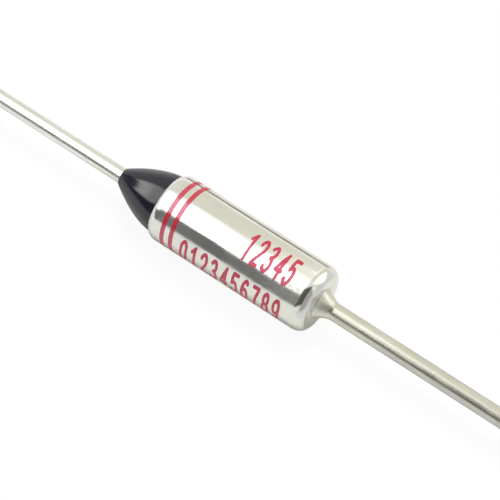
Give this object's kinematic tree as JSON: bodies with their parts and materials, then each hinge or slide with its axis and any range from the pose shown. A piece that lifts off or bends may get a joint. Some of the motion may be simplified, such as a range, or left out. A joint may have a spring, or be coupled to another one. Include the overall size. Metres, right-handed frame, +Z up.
{
  "type": "thermal fuse",
  "caption": "Axial thermal cut-off: round plated metal case with a black tapered epoxy seal, straight wire leads at both ends, and a sealed pellet, springs and star contact inside.",
  "frame": {"origin": "on the surface the part lies on, under the middle of its overall length", "axes": "+X along the part's axis from the seal end to the case lead's end, +Z up"},
  "size_m": [0.0672, 0.004, 0.004],
  "materials": {
    "plated_case": "polished",
    "plated_wire": "satin",
    "black_epoxy": "gloss",
    "white_ceramic": "matte",
    "organic_pellet": "matte",
    "spring_steel": "satin",
    "silver_contact": "polished"
  },
  "bodies": {
    "housing": {"case": "plated_case", "case_lead": "plated_wire", "isolated_lead": "plated_wire", "epoxy_seal": "black_epoxy", "ceramic_bush": "white_ceramic", "thermal_pellet": "organic_pellet", "trip_spring": "spring_steel"},
    "contact_carriage": {"star_contact": "silver_contact", "contact_disc": "spring_steel", "bias_spring": "spring_steel"},
    "pressure_plate": {"pressure_disc": "spring_steel"}
  },
  "joints": [
    {"name": "contact_trip", "type": "slide", "parent": "housing", "child": "contact_carriage", "axis": [1, 0, 0], "range_m": [0, 0.0008], "deforming": ["trip_spring"]},
    {"name": "pellet_collapse", "type": "slide", "parent": "contact_carriage", "child": "pressure_plate", "axis": [1, 0, 0], "range_m": [0, 0.0012], "deforming": ["bias_spring", "thermal_pellet"]}
  ],
  "couplings": [
    {"joint": "pellet_collapse", "follows": "contact_trip", "ratio": 1.5}
  ]
}
